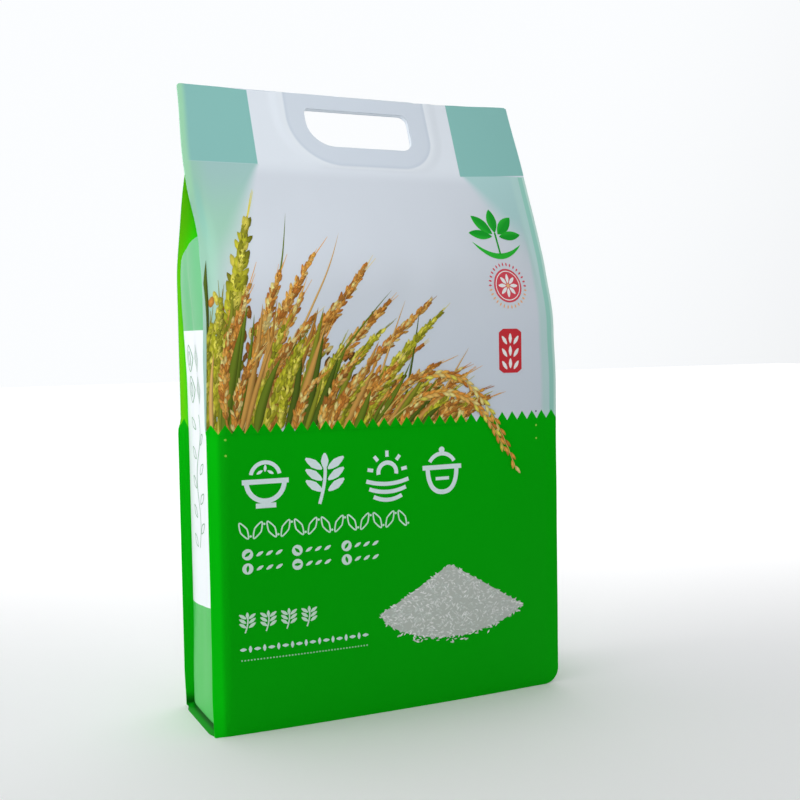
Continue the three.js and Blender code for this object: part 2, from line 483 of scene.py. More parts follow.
def filmSurface(tree, colour, ior=filmFinish["ior"]):
    fine = grain(tree, filmFinish["grain"])
    broad = grain(tree, filmFinish["broadGrain"])
    normal = addNode(tree, "ShaderNodeBump", {}, {
        "Strength": filmFinish["bump"], "Distance": filmFinish["bumpHeight"] * mm, "Height": fine,
    })
    return addNode(tree, "ShaderNodeBsdfPrincipled", {}, {
        "Base Color": colour,
        "Roughness": filmFinish["roughness"] + 0.08 * (broad - 0.5) + 0.05 * (fine - 0.5),
        "IOR": ior,
        "Normal": normal,
    })


def reachShown(up, onRight):
    left, right = outline["start"]
    reach = left + (right - left) * onRight
    for low, high, leftChange, rightChange in outline["changes"]:
        reach = reach + up.ramp(low, high) * (leftChange + (rightChange - leftChange) * onRight)
    return reach


# One of two values, by the side of the pack
def bySide(values, onRight):
    return values[0] + (values[1] - values[0]) * onRight


# Green ink, with painted light on the left fins: a brighter green where the light comes through
def greenInkAndFinLight(across, up):
    onRight = across.above(0.02)
    fromTip = reachShown(up, onRight) - abs(across)
    onFin = (1 - onRight) * (1 - fromTip.ramp(*printPlaces["finBright"]))
    return onFin.mix(printColours["green"], printColours["finLitGreen"])


# The handle as it shows through the film, with a painted highlight on the raised film round it, as shares
# of the shades they give the front
def handleLayers(across, along, inSeal):
    away = fromOutline(ringTint, across, along, Field.most, Field.least)
    return (
        (0.4 * (1 - away.ramp(0, 5)) * inSeal, "coverHighlight"),
        ((0.8 - away).ramp(0, 1.6) * inSeal, "ringEdge"),
        ((0 - away).ramp(0.2, 3) * inSeal, "ring"),
    )


# The green gussets seen through the film: soft below the seal, sharp inside it
def gussetLayers(across, along, inSeal, onRight):
    place, shades = printPlaces, printColours
    wide = abs(across)
    inner = bySide(place["gussetInner"], onRight)
    outer = place["gussetOuter"]
    share = ((0 - along) / bySide(place["gussetDrop"], onRight)).least(1).most(0.0001)
    softInner = inner + (outer - inner) * share ** 0.85
    shown = ((wide - softInner) / (2 + 24 * share)).ramp(-1, 1) * (1 - share.ramp(0.35, 1.1))
    leftShade = share.ramp(0, 0.4).mix(shades["gussetLeft"], shades["gussetMint"])
    (leftInner, leftOuter), (rightInner, rightOuter) = place["gussetFoot"]
    foot = bySide((leftInner, rightInner), onRight)
    foot = foot + (bySide((leftOuter, rightOuter), onRight) - foot) * ((wide - inner) / (outer - inner))
    return (
        (0.92 * shown * (1 - inSeal), onRight.mix(leftShade, shades["gussetSoft"])),
        ((wide - inner).above(0.3) * (along - foot).above(0.6), "gusset"),
    )


# Pale edge, teal strip and soft shade of the right fin, soft mint and a stripe on the left one
def finLayers(up, fromTip, inSeal, onRight):
    place = printPlaces
    onLeft = 1 - onRight
    pale, strip, shade = place["finStrip"]
    right = onRight * (1 - inSeal)
    left = onLeft * (1 - inSeal)
    stripe = fromTip.ramp(2.5, 5) * (1 - fromTip.ramp(6.5, 9.5))
    stripe = stripe * up.ramp(296, 325) * (1 - up.ramp(335, 352))
    atEdge = up.ramp(325, 345) * (1 - fromTip.ramp(*place["sealEdge"]))
    return (
        (0.75 * right * (1 - fromTip.ramp(shade - 2, shade + 2)), "finShade"),
        (0.85 * right * (strip - fromTip).above(0.7), "finTeal"),
        (0.7 * right * (pale - fromTip).above(0.7), "finPale"),
        (0.72 * left * (1 - fromTip.ramp(*place["finSoft"])), "gussetMint"),
        (0.6 * left * stripe, "finTeal"),
        (0.85 * onLeft * atEdge, "edgeMint"),
    )


# Frosted film with what shows through near the top, printed green below the zigzag with painted light on
# the left fins
def panelColour(across, up):
    onRight = across.above(0.02)
    along = up - pack["sealStart"]
    inSeal = along.above(0.6)
    fromTip = reachShown(up, onRight) - abs(across)
    colour = up.ramp(*printPlaces["touching"]).mix(printColours["touching"], printColours["frost"])
    layers = (
        ((along + 4).ramp(-6, 8), "seal"),
        *handleLayers(across, along, inSeal),
        *gussetLayers(across, along, inSeal, onRight),
        *finLayers(up, fromTip, inSeal, onRight),
    )
    for share, shade in layers:
        colour = share.mix(colour, printColours[shade] if isinstance(shade, str) else shade)
    return zigzagMask(across, up).mix(colour, greenInkAndFinLight(across, up))


def paintFront(tree):
    across, up = filmPlace(tree)
    return filmSurface(tree, panelColour(across, up))


def paintBack(tree):
    across, up = filmPlace(tree)
    return filmSurface(tree, panelColour(unrolledPlaces["back"] - across, up))


# The side: green film with a painted sheen, paler and mintier higher up, a painted shade along the crease
# at its foot, and a pale label
def paintSide(tree):
    around, up = filmPlace(tree)
    across = abs(around) - unrolledPlaces["side"]
    place = printPlaces
    shades = printColours
    colour = up.ramp(60, 250).mix(shades["sideGreenSheen"], shades["sideMintSheen"])
    # painted shade: dark green below the crease at the foot
    colour = up.ramp(pack["creaseHeight"], pack["creaseHeight"] + 3).mix(shades["crease"], colour)
    label = (place["labelHalf"] - abs(across)).above()
    bottom = place["labelBottom"] - 0.1 * across
    label = label * (up - bottom).above() * (place["labelTop"] - up).above()
    return filmSurface(tree, label.mix(colour, shades["label"]), filmFinish["sideIor"])


# The inner faces of the fins, and the gusset where it folds inwards: above the zigzag a brighter, yellower
# green that is painted light coming through the film, at the foot a darker rim and a painted shade along
# the crease
def paintFin(tree):
    around, up = filmPlace(tree)
    across = abs(around) - unrolledPlaces["side"]
    shades = printColours
    litThroughGreen = (abs(across) - 30).ramp(0, 14).mix(shades["litThroughGreenDeep"], shades["litThroughGreen"])
    # a darker green rim at the foot, with a painted shade above it along the crease
    low = up.ramp(0.5 * pack["rimHeight"], pack["rimHeight"]).mix(shades["rim"], shades["crease"])
    green = up.ramp(pack["rimHeight"], pack["rimHeight"] + 8).mix(low, shades["finGreen"])
    return filmSurface(tree, zigzagMask(across, up).mix(litThroughGreen, green))


def paintBase(tree):
    return filmSurface(tree, grain(tree, 12).mix(printColours["green"], printColours["baseDeep"]))


def paintInside(tree):
    return filmSurface(tree, (0.3 * grain(tree, 6)).mix(printColours["inner"], printColours["innerDeep"]))


filmSteps = {
    "panel": 200,
    "fin": 5,
    "side": 30,
    "levels": (              # from, to and steps
        (0, 2.2, 4), (2.2, 5.2, 8), (5.2, 12, 6), (12, 60, 16), (60, 180, 26), (180, 262, 24),
        (262, 300, 16), (300, 330, 18), (330, 350, 8), (350, 359, 4), (359, 414.4, 50),
    ),
}

unrolledPlaces = {"back": 400, "side": 200, "base": 600}
filmSlots = {"front": 0, "frontFin": 0, "back": 1, "backFin": 1, "side": 2, "frontInner": 2, "backInner": 2}
baseSlot, cutSlot, finSlot = 3, 4, 5


# Stations round the film, anticlockwise from above: a part of it, the side it is on, how far along
def stationsAround():
    fin = [i / filmSteps["fin"] for i in range(1, filmSteps["fin"] + 1)]
    across = [lerp(-1, 1, i / filmSteps["panel"]) for i in range(filmSteps["panel"] + 1)]
    gusset = [lerp(-1, 1, i / filmSteps["side"]) for i in range(filmSteps["side"] + 1)]
    right = [("frontFin", t) for t in fin] + [("frontInner", t) for t in reversed(fin)]
    right += [("side", v) for v in gusset]
    right += [("backInner", t) for t in fin] + [("backFin", t) for t in reversed(fin)]
    stations = [("front", 0, q) for q in across]
    stations += [(part, 1, t) for part, t in right]
    stations += [("back", 0, -q) for q in across]
    stations += [(part, -1, t) for part, t in reversed(right)]
    return stations


def stationSpot(station, up):
    part, side, t = station
    z = min(up, pack["sealStart"])
    along = max(up - pack["sealStart"], 0)
    if part in ("front", "back"):
        return panelSpot(-1 if part == "front" else 1, t * finRoot(up, t > 0), up)
    face = -1 if part.startswith("front") else 1
    tip, root = finTip(up, side > 0, face), finRoot(up, side > 0)
    if part in ("frontFin", "backFin"):
        return panelSpot(face, side * lerp(root, tip, t), up)
    front = frontEdge(z)
    back = backEdge(z)
    if z >= pack["apex"]:
        return inPlace(side * tip, (front + back) / 2, z, along)
    if part == "side":
        y = lerp(*sideEdges(side, z), (t + 1) / 2)
        return Vector((side * sideReach(z, t, tip, root), y, z))
    folded = sideReach(z, face, finTip(up, side > 0), root)
    x = side * lerp(folded, tip, t)
    edge = front + pack["finThick"] if face < 0 else back - pack["finThick"]
    return Vector((x, edge + finLean(face, x, up), z))


# Where a station lies on the unrolled film
def unrolled(station):
    part, side, t = station
    root = pack["width"] / 2 - pack["finWidth"]
    half = pack["depth"] / 2
    if part in ("front", "back", "frontFin", "backFin"):
        across = side * (root + pack["finWidth"] * t) if "Fin" in part else t * root
        return across if part.startswith("front") else unrolledPlaces["back"] - across
    if part == "side":
        return side * (unrolledPlaces["side"] + t * half)
    face = -1 if part == "frontInner" else 1
    return side * (unrolledPlaces["side"] + face * (half + pack["finWidth"] * t))


def filmLevels():
    levels = []
    for low, high, steps in filmSteps["levels"]:
        levels += [lerp(low, high, i / steps) for i in range(steps)]
    return levels + [filmSteps["levels"][-1][1]]


# A grid wrapped round the stations and up the levels, its seam and its folds merged
def wrapFilm():
    stations = stationsAround()
    levels = filmLevels()
    around = len(stations)
    steps = len(levels) - 1
    bm = bmesh.new()
    bmesh.ops.create_grid(bm, x_segments=around, y_segments=steps, size=0.5)
    film = bm.loops.layers.uv.new("film")
    fins = []
    for face in bm.faces:
        columns = [round((loop.vert.co.x + 0.5) * around) for loop in face.loops]
        first = min(columns)
        start = stations[first]
        end = stations[(first + 1) % around]
        face.material_index = min(filmSlots[start[0]], filmSlots[end[0]])
        face.smooth = True
        heights = [levels[round((loop.vert.co.y + 0.5) * steps)] for loop in face.loops]
        for loop, column, level in zip(face.loops, columns, heights):
            station = stations[column % around]
            if filmSlots[station[0]] != face.material_index:    # the cut edge of a fin
                station = start if column != first else end
            loop[film].uv = (unrolled(station) * mm, level * mm)
        onFin = "Inner" in start[0] + end[0]
        folded = min(heights) < pack["rimHeight"] + 0.6 or min(heights) > fillEdge(start[2]) + 1
        if face.material_index == filmSlots["side"] and (onFin or folded):
            fins.append(face)
    for vert in bm.verts:
        station = stations[round((vert.co.x + 0.5) * around) % around]
        level = levels[round((vert.co.y + 0.5) * steps)]
        vert.co = stationSpot(station, level) * mm
    for face in bm.faces:    # broad panels are unrolled by their real place across
        if face.material_index < filmSlots["side"]:
            onBack = face.material_index == filmSlots["back"]
            for loop in face.loops:
                across = loop.vert.co.x
                loop[film].uv.x = unrolledPlaces["back"] * mm - across if onBack else across
    for face in fins:
        face.material_index = finSlot
    bmesh.ops.remove_doubles(bm, verts=bm.verts, dist=1e-6)
    closeTop(bm)
    closeBase(bm, film)
    bmesh.ops.recalc_face_normals(bm, faces=bm.faces)
    return bm


def madeOf(made, kind):
    return [item for item in made["geom"] if isinstance(item, kind)]


# Closes an open rim with triangles
def fillRim(bm, rim):
    filled = bmesh.ops.holes_fill(bm, edges=rim, sides=0)["faces"]
    return bmesh.ops.triangulate(bm, faces=filled)["faces"]


def closeTop(bm):
    fillRim(bm, [edge for edge in bm.edges if edge.is_boundary and edge.verts[0].co.z > 0.1])


base = {"insets": ((3, 0), (5, 1.2), (30, 1.5))}     # in from the rim, and up, of the folded base


def closeBase(bm, film):
    rim = [edge for edge in bm.edges if edge.is_boundary]
    faces = []
    for inset, rise in base["insets"]:
        made = bmesh.ops.extrude_edge_only(bm, edges=rim)
        verts = madeOf(made, bmesh.types.BMVert)
        faces += madeOf(made, bmesh.types.BMFace)
        rim = [edge for edge in madeOf(made, bmesh.types.BMEdge) if edge.is_boundary]
        for vert in verts:
            vert.co.x *= 1 - inset / (pack["width"] / 2)
            vert.co.y *= 1 - inset / (pack["depth"] / 2)
            vert.co.z = rise * mm
    for face in faces:
        face.smooth = True
    for face in faces + fillRim(bm, rim):
        face.material_index = baseSlot
        for loop in face.loops:
            loop[film].uv = (loop.vert.co.x + unrolledPlaces["base"] * mm, loop.vert.co.y)


# The plane of the top seal: x across, y up the film, z out of its front
def sealFrame():
    turn = Matrix.Rotation(math.pi / 2 - pack["sealLean"], 4, "X")
    return Matrix.Translation(Vector((0, pack["sealMiddle"], pack["sealStart"])) * mm) @ turn


# A plate with rounded corners in the plane of the seal
def roundedPlate(name, shape, grow, thick):
    left, right = shape["left"] - grow, shape["right"] + grow
    bottom, top = shape["bottom"] - grow, shape["top"] + grow
    bm = bmesh.new()
    places = ((left, bottom), (right, bottom), (right, top), (left, top))
    verts = [bm.verts.new((x, y, 0)) for x, y in places]
    bm.faces.new(verts)
    for corner, radius in zip(verts, shape["radii"]):
        bmesh.ops.bevel(
            bm, geom=[corner], offset=radius + grow, offset_type="OFFSET", affect="VERTICES",
            segments=handleShape["cornerSteps"], profile=0.5, material=-1,
        )
    made = bmesh.ops.extrude_face_region(bm, geom=bm.faces[:])
    bmesh.ops.translate(bm, verts=madeOf(made, bmesh.types.BMVert), vec=(0, 0, thick))
    bmesh.ops.translate(bm, verts=bm.verts, vec=(0, 0, -thick / 2))
    bmesh.ops.scale(bm, verts=bm.verts, vec=(mm, mm, mm))
    bmesh.ops.transform(bm, verts=bm.verts, matrix=sealFrame())
    bmesh.ops.recalc_face_normals(bm, faces=bm.faces)
    for face in bm.faces:
        face.material_index = cutSlot
    return linkNew(name, bm, [])


def cutAway(piece, cutter):
    cut = piece.modifiers.new("cut", "BOOLEAN")
    cut.operation = "DIFFERENCE"
    cut.solver = "MANIFOLD"
    cut.object = cutter
    shown = piece.evaluated_get(bpy.context.evaluated_depsgraph_get())
    before = len(piece.data.polygons)
    mesh = bpy.data.meshes.new_from_object(shown)
    piece.modifiers.clear()
    old = piece.data
    piece.data = mesh
    bpy.data.meshes.remove(old)
    bpy.data.objects.remove(cutter)
    print("cut:", before, "->", len(mesh.polygons), "faces")


def makeFilm():
    paints = {
        "printed front film": paintFront,
        "printed back film": paintBack,
        "gusset film": paintSide,
        "base film": paintBase,
        "inner film": paintInside,
        "fin film": paintFin,
    }
    film = linkNew("printedFilm", wrapFilm(), [newMaterial(name, paint) for name, paint in paints.items()])
    tall = {**handleShape, "top": pack["sealLength"] + handleShape["openTop"]}
    cutAway(film, roundedPlate("pocket", tall, handleShape["play"], handleShape["pocket"]))
    cutAway(film, roundedPlate("handHole", handleShape["hole"], 0, handleShape["holeDepth"]))
    film.data.name = "printedFilm"
    film.data.set_sharp_from_angle(angle=math.radians(50))
    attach(film, "root")
    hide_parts("sack")
    print("film:", len(film.data.polygons), "faces")
    return film


printLight = 0.63        # how light a white sheet would look on most of the front


# Colours are given as the photograph shows them, and the light that falls there is taken off again
def printed(red, green, blue, light=printLight):
    return tuple(min(value / light, 0.92) for value in seen(red, green, blue)[:3]) + (1,)


def tinted(shade, share):
    return tuple(min(value * share, 1) for value in shade[:3]) + (1,)


# One of the shades, a little lighter or darker
def picked(chance, shades, low, high, light=printLight, share=1):
    return tinted(printed(*chance.choice(shades), light), share * chance.uniform(low, high))


# Along and across of a turned shape, added to its middle
def turnedSpot(x, y, turn, along, across):
    cos, sin = math.cos(turn), math.sin(turn)
    return x + along * cos - across * sin, y + along * sin + across * cos


# A sheet of print: flat shapes, x across and y up the film in millimetres, z the order they lie in
def newSheet():
    bm = bmesh.new()
    bm.verts.layers.float_color.new("ink")
    return bm


def inkIn(bm, verts, shade):
    ink = bm.verts.layers.float_color["ink"]
    for vert in verts:
        vert[ink] = shade


# A strip along a path, with a width at each share of its length and a shade across it
def drawStrip(bm, path, width, shade, steps=8, rows=2, order=0):
    ink = bm.verts.layers.float_color["ink"]
    made = bmesh.ops.create_grid(bm, x_segments=steps, y_segments=rows, size=0.5)["verts"]
    for vert in made:
        t = vert.co.x + 0.5
        s = 2 * vert.co.y
        here = path(t)
        ahead = path(min(t + 0.01, 1)) - path(max(t - 0.01, 0))
        beside = Vector((-ahead.y, ahead.x)).normalized()
        spot = here + beside * s * width(t) / 2
        vert[ink] = shade(t, s) if callable(shade) else shade
        vert.co = (spot.x, spot.y, order)


def straight(x1, y1, x2, y2):
    return lambda t: Vector((lerp(x1, x2, t), lerp(y1, y2, t)))


def curved(x1, y1, x2, y2, x3, y3):
    def path(t):
        one = Vector((x1, y1)).lerp(Vector((x2, y2)), t)
        return one.lerp(Vector((x2, y2)).lerp(Vector((x3, y3)), t), t)
    return path


def arc(x, y, radius, start, end):
    def path(t):
        turn = math.radians(lerp(start, end, t))
        return Vector((x + radius * math.cos(turn), y + radius * math.sin(turn)))
    return path


def even(width):
    return lambda t: width


# Pointed at both ends and widest at a share of the length
def leafWidth(width, widest=0.4):
    def at(t):
        share = t / widest if t < widest else (1 - t) / (1 - widest)
        return width * math.sin(share * math.pi / 2) ** 0.8 + 0.05
    return at


def drawDisc(bm, x, y, radius, shade, order=0, sides=28):
    made = bmesh.ops.create_circle(bm, cap_ends=True, cap_tris=True, segments=sides, radius=radius)["verts"]
    bmesh.ops.translate(bm, verts=made, vec=(x, y, order))
    inkIn(bm, made, shade)
    return made


def drawRing(bm, x, y, radius, width, shade, order=0, start=0, end=360, steps=36):
    drawStrip(bm, arc(x, y, radius, start, end), even(width), shade, steps, 1, order)


# A grain: a pointed oval, light in its middle and dark round its edge
def drawGrain(bm, x, y, turn, length, width, shade, order=0, sides=8, tones=(1.15, 0.75, 0.54)):
    ink = bm.verts.layers.float_color["ink"]
    made = bmesh.ops.create_circle(bm, cap_ends=True, cap_tris=True, segments=sides, radius=0.5)["verts"]
    for vert in made:
        along, across = vert.co.x, vert.co.y
        heart, light, dark = tones
        vert[ink] = tinted(shade, heart if vert.co.length < 0.1 else light if across > 0 else dark)
        across *= 1 - 0.6 * abs(along)
        vert.co = (*turnedSpot(x, y, turn, length * along, width * across), order)


sheet = {
    "lift": 0.1,             # above the film
    "longest": 4.5,          # edges longer than this are halved, so that the sheet bends with the film
    "halvings": 4,
}


def halveEdges(bm, longest, times):
    for _ in range(times):
        long = [edge for edge in bm.edges if edge.calc_length() > longest]
        if not long:
            return
        bmesh.ops.subdivide_edges(bm, edges=long, cuts=1, use_grid_fill=True)


# Turns the faces of a laid sheet outwards and makes it a piece of the pack
def finishSheet(name, bm, material, outward):
    bmesh.ops.triangulate(bm, faces=[face for face in bm.faces if len(face.verts) > 3])
    for face in bm.faces:
        face.smooth = True
        face.normal_update()
        if face.normal.dot(outward) < -0.01:
            face.normal_flip()
    piece = linkNew(name, bm, [material])
    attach(piece, "root")
    print(name + ":", len(piece.data.polygons), "faces")
    return piece


# Lays a sheet on the front or the back of the pack
def laySheet(name, bm, material, face=-1, depth=1):
    halveEdges(bm, sheet["longest"], sheet["halvings"])
    film = bm.loops.layers.uv.new("film")
    shift = 0 if face < 0 else unrolledPlaces["back"]
    for corner in (loop for item in bm.faces for loop in item.loops):
        place = corner.vert.co
        corner[film].uv = ((shift + place.x) * mm, place.y * mm)
    for vert in bm.verts:
        vert.co = panelPlace(face, -face * vert.co.x, vert.co.y, sheet["lift"] + depth * vert.co.z)
    return finishSheet(name, bm, material, (0, face, 0))


def inkShade(tree, masked):
    ink = addNode(tree, "ShaderNodeVertexColor", {"layer_name": "ink"}, {})
    mottle = grain(tree, filmFinish["inkGrain"])
    colour = (0.25 * mottle).mix(ink, (0.5 * mottle).mix(ink, printColours["speck"]))
    if masked:
        across, up = filmPlace(tree)
        colour = zigzagMask(across, up).mix(colour, greenInkAndFinLight(across, up))
    return filmSurface(tree, colour)


# Ink that stops at the zigzag
def paintCropped(tree):
    return inkShade(tree, True)


def paintInk(tree):
    return inkShade(tree, False)


# The field of rice above the zigzag: seeded, every ear with its own bend, size and shades
field = {
    "seed": 11,
    "ground": 187,           # the sheet is cut off here, behind the zigzag
    "ears": (                # foot across, length, lean in degrees, size and whether it is still lime
        (-122, 70, 3, 1.0, 1), (-118, 86, 5, 0.95, 1), (-112, 96, 9, 0.9, 0), (-116, 138, 11, 1.6, 1),
        (-108, 108, 17, 1.0, 0), (-102, 98, 24, 1.0, 0), (-92, 100, 33, 0.9, 0), (-112, 130, 28, 0.85, 0),
        (-104, 92, 34, 0.85, 0), (-98, 136, 37, 0.8, 0), (-92, 66, 25, 0.9, 1), (-84, 118, 44, 0.85, 0),
        (-70, 92, 43, 0.8, 1), (-64, 126, 47, 0.75, 0), (-54, 94, 53, 0.8, 0), (-42, 110, 45, 0.75, 1),
        (-36, 82, 57, 0.8, 0), (-22, 80, 33, 0.8, 1), (-16, 76, 58, 0.75, 0), (2, 62, 54, 0.75, 0),
        (10, 60, 64, 0.7, 0), (24, 40, 60, 0.7, 1),
    ),
    "strands": (             # foot across, length and lean of the thinnest blades
        (-110, 150, 18), (-98, 146, 27), (-72, 118, 38), (-24, 92, 20), (2, 84, 12), (18, 66, 34),
    ),
    "shortEars": 26,
    "blades": 52,
    "scatter": 560,
    "earLength": 84,
    "grain": (8.2, 3.1),
    "rows": ((1, 0.5), (-1, -0.5), (0.5, 0.28), (-0.5, -0.28), (0, 0.05)),   # place across and turn
    "rowPitch": 3.6,
    "awns": 3,
    "limes": ((168, 164, 44), (148, 148, 34), (192, 182, 74), (118, 118, 32)),
    "golds": ((208, 154, 80), (224, 180, 114), (184, 124, 52), (198, 144, 64), (158, 98, 40)),
    "browns": ((142, 94, 42), (116, 76, 34), (90, 62, 28)),
    "leaves": (
        (150, 106, 46), (176, 132, 66), (120, 124, 36), (92, 110, 30), (190, 152, 88), (70, 88, 26),
    ),
    "light": 0.62,
    "leftCut": ((-123.6, 190, 0), (-1, 0.028, 0)),   # ends the field along the left fin's edge
}


# An ear: five rows of grains along the upper part of a bent stem, narrowing to a point with awns
def drawEar(bm, chance, foot, length, lean, sag, shades, order, size=1):
    lean = math.radians(lean)
    tip = Vector(foot) + Vector((math.sin(lean), math.cos(lean))) * length
    middle = Vector(foot).lerp(tip, 0.55) + Vector((-math.cos(lean), math.sin(lean))) * sag
    path = curved(*foot, *middle, *tip)
    stem = tinted(printed(*chance.choice(shades), field["light"]), 0.8)
    drawStrip(bm, path, lambda t: lerp(2, 0.6, t) * size, lambda t, s: tinted(stem, 1 - 0.4 * abs(s)),
              14, 2, order)
    for _ in range(field["awns"]):
        start = path(chance.uniform(0.86, 0.97))
        ahead = (tip - middle).normalized() * chance.uniform(14, 24) * size
        swung = chance.uniform(-3.5, 3.5)
        awn = straight(*start, start.x + ahead.x + swung, start.y + ahead.y)
        drawStrip(bm, awn, lambda t: lerp(0.8, 0.2, t), tinted(stem, 1.1), 4, 1, order)
    share = min(field["earLength"] * size / length, 0.86)
    long, wide = (value * size for value in field["grain"])
    count = int(share * length / (field["rowPitch"] * size))
    for i in range(count + 1):
        along = i / count
        t = 1 - share + share * along
        spot = path(t)
        ahead = path(min(t + 0.02, 1)) - path(t - 0.02)
        turn = math.atan2(ahead.y, ahead.x)
        beside = Vector((-math.sin(turn), math.cos(turn)))
        full = min(0.55 + 2.2 * along, 1.1) * (1 - 0.72 * max(along - 0.3, 0) ** 1.3 / 0.63)
        for row, (side, turned) in enumerate(field["rows"]):
            if along > 0.9 and row < 2 or chance.random() < 0.12:
                continue
            at = spot + beside * (side * 2.7 * size * full + chance.uniform(-0.8, 0.8))
            shade = picked(chance, shades, 0.8, 1.16, field["light"], 0.78 if side < 0 else 1)
            grown = chance.uniform(0.85, 1.1) * lerp(1, 0.8, along)
            lying = turn + turned * chance.uniform(0.5, 1.3)
            above = order + 0.006 * row + 0.003 * (i % 3) + 0.004
            drawGrain(bm, at.x, at.y, lying, long * grown, wide * grown, shade, above)


def drawBlade(bm, foot, tip, sag, width, shade, order):
    span = Vector(tip) - Vector(foot)
    middle = Vector(foot) + span * 0.5 + Vector((-span.y, span.x)).normalized() * sag
    light = printed(*shade, field["light"])
    drawStrip(bm, curved(*foot, *middle, *tip), leafWidth(width, 0.3),
              lambda t, s: tinted(light, 1.1 - 0.6 * abs(s - 0.25)), 16, 4, order)


def drawField():
    chance = random.Random(field["seed"])
    bm = newSheet()
    ground = field["ground"] - 4
    everyShade = field["golds"] * 2 + field["limes"] + field["browns"]
    for i in range(field["scatter"]):
        share = chance.random() ** 1.1
        x = lerp(-123, 54, share)
        up = ground + chance.random() ** 1.25 * lerp(92, 17, share)
        shade = picked(chance, everyShade, 0.45, 1, field["light"])
        lean = lerp(1.4, 0.5, share) + chance.uniform(-0.4, 0.4)
        length, width = chance.uniform(6, 9.5), chance.uniform(2.4, 3.6)
        drawGrain(bm, x, up, lean, length, width, shade, 0.004 * (i % 5))
    growing = [("ear", *ear) for ear in field["ears"]]
    for i in range(field["shortEars"]):
        share = (i + 0.5) / field["shortEars"]
        lean = lerp(6, 60, share) + chance.uniform(-7, 7)
        length = lerp(78, 32, share) * chance.uniform(0.6, 1.1)
        size = chance.uniform(0.68, 0.88)
        growing.append(("ear", lerp(-121, 42, share), length, lean, size, i % 3 == 0))
    for i in range(field["blades"]):
        share = i / field["blades"]
        lean = lerp(4, 56, share) + chance.uniform(-10, 8)
        length = lerp(112, 36, share) * chance.uniform(0.45, 1)
        width = chance.uniform(2.4, lerp(8, 4.5, share))
        growing.append(("blade", lerp(-122, 34, share), length, lean, width, 0))
    growing += [("blade", x, length, lean, 1.6, 0) for x, length, lean in field["strands"]]
    chance.shuffle(growing)
    growing.sort(key=lambda item: -item[2] // 30)        # the tallest stand at the back
    order = 0.02
    for kind, x, length, lean, size, isLime in growing:
        foot = (x + chance.uniform(-2, 2), ground)
        if kind == "blade":
            turn = math.radians(lean)
            tip = (foot[0] + length * math.sin(turn), ground + length * math.cos(turn))
            sag = chance.uniform(-8, 8)
            drawBlade(bm, foot, tip, sag, size, chance.choice(field["leaves"]), order)
            order += 0.004
            continue
        shades = field["limes"] if isLime else field["golds"] + field["browns"][:1]
        drawEar(bm, chance, foot, length, lean, chance.uniform(2, 10), shades, order, size)
        order += 0.022
    for spot, away in (((0, field["ground"], 0), (0, -1, 0)), field["leftCut"]):
        everything = bm.verts[:] + bm.edges[:] + bm.faces[:]
        bmesh.ops.bisect_plane(bm, geom=everything, plane_co=spot, plane_no=away, clear_outer=True)
    return laySheet("riceField", bm, newMaterial("field ink", paintCropped), depth=0.35)


# Two ears that droop over the zigzag
droop = {
    "seed": 5,
    "ears": (((-8, 196), (50, 262), (91, 153)), ((-6, 190), (50, 236), (82, 167))),   # foot, bend and tip
    "grain": (6.8, 2.5),
    "grains": 34,
    "shades": field["golds"] + field["limes"][2:3],
    "stem": (176, 150, 78),
}


def drawDroop():
    chance = random.Random(droop["seed"])
    bm = newSheet()
    length, width = droop["grain"]
    for number, (base, peak, tip) in enumerate(droop["ears"]):
        path = curved(*base, *peak, *tip)
        order = 0.7 + 0.04 * number
        drawStrip(bm, path, even(0.8), printed(*droop["stem"]), 24, 2, order)
        for i in range(droop["grains"]):
            t = lerp(0.25, 1, i / (droop["grains"] - 1))
            spot = path(t)
            ahead = path(min(t + 0.02, 1)) - path(t - 0.02)
            turn = math.atan2(ahead.y, ahead.x)
            side = 1 if i % 2 else -1
            at = spot + Vector((-math.sin(turn), math.cos(turn))) * side * 1.3
            shade = picked(chance, droop["shades"], 0.9, 1.15)
            above = order + 0.005 + 0.004 * (i % 3)
            drawGrain(bm, at.x, at.y, turn + side * 0.25, length, width, shade, above)
    return laySheet("droopingEars", bm, newMaterial("ear ink", paintInk))


# A heap of grains on the green
heap = {
    "seed": 3,
    "apex": (37.5, 94),
    "left": (-13.5, 65.5),
    "right": (94.5, 60.5),
    "belly": 44,
    "grains": 1400,
    "loose": 46,
    "grain": (3.2, 1.15),
    "shades": ((174, 177, 174), (162, 168, 164), (184, 187, 185), (156, 162, 157)),
    "under": (152, 157, 152),
    "light": 0.54,
}


def heapTop(x):
    left, apex, right = heap["left"], heap["apex"], heap["right"]
    if x < apex[0]:
        return lerp(left[1], apex[1], ((x - left[0]) / (apex[0] - left[0])) ** 1.05)
    return lerp(apex[1], right[1], ((x - apex[0]) / (right[0] - apex[0])) ** 1.05)


def heapFoot(x):
    left, right = heap["left"], heap["right"]
    share = (x - left[0]) / (right[0] - left[0])
    rim = lerp(left[1], right[1], share)
    return rim - (rim - heap["belly"]) * math.sin(math.pi * share) ** 0.56


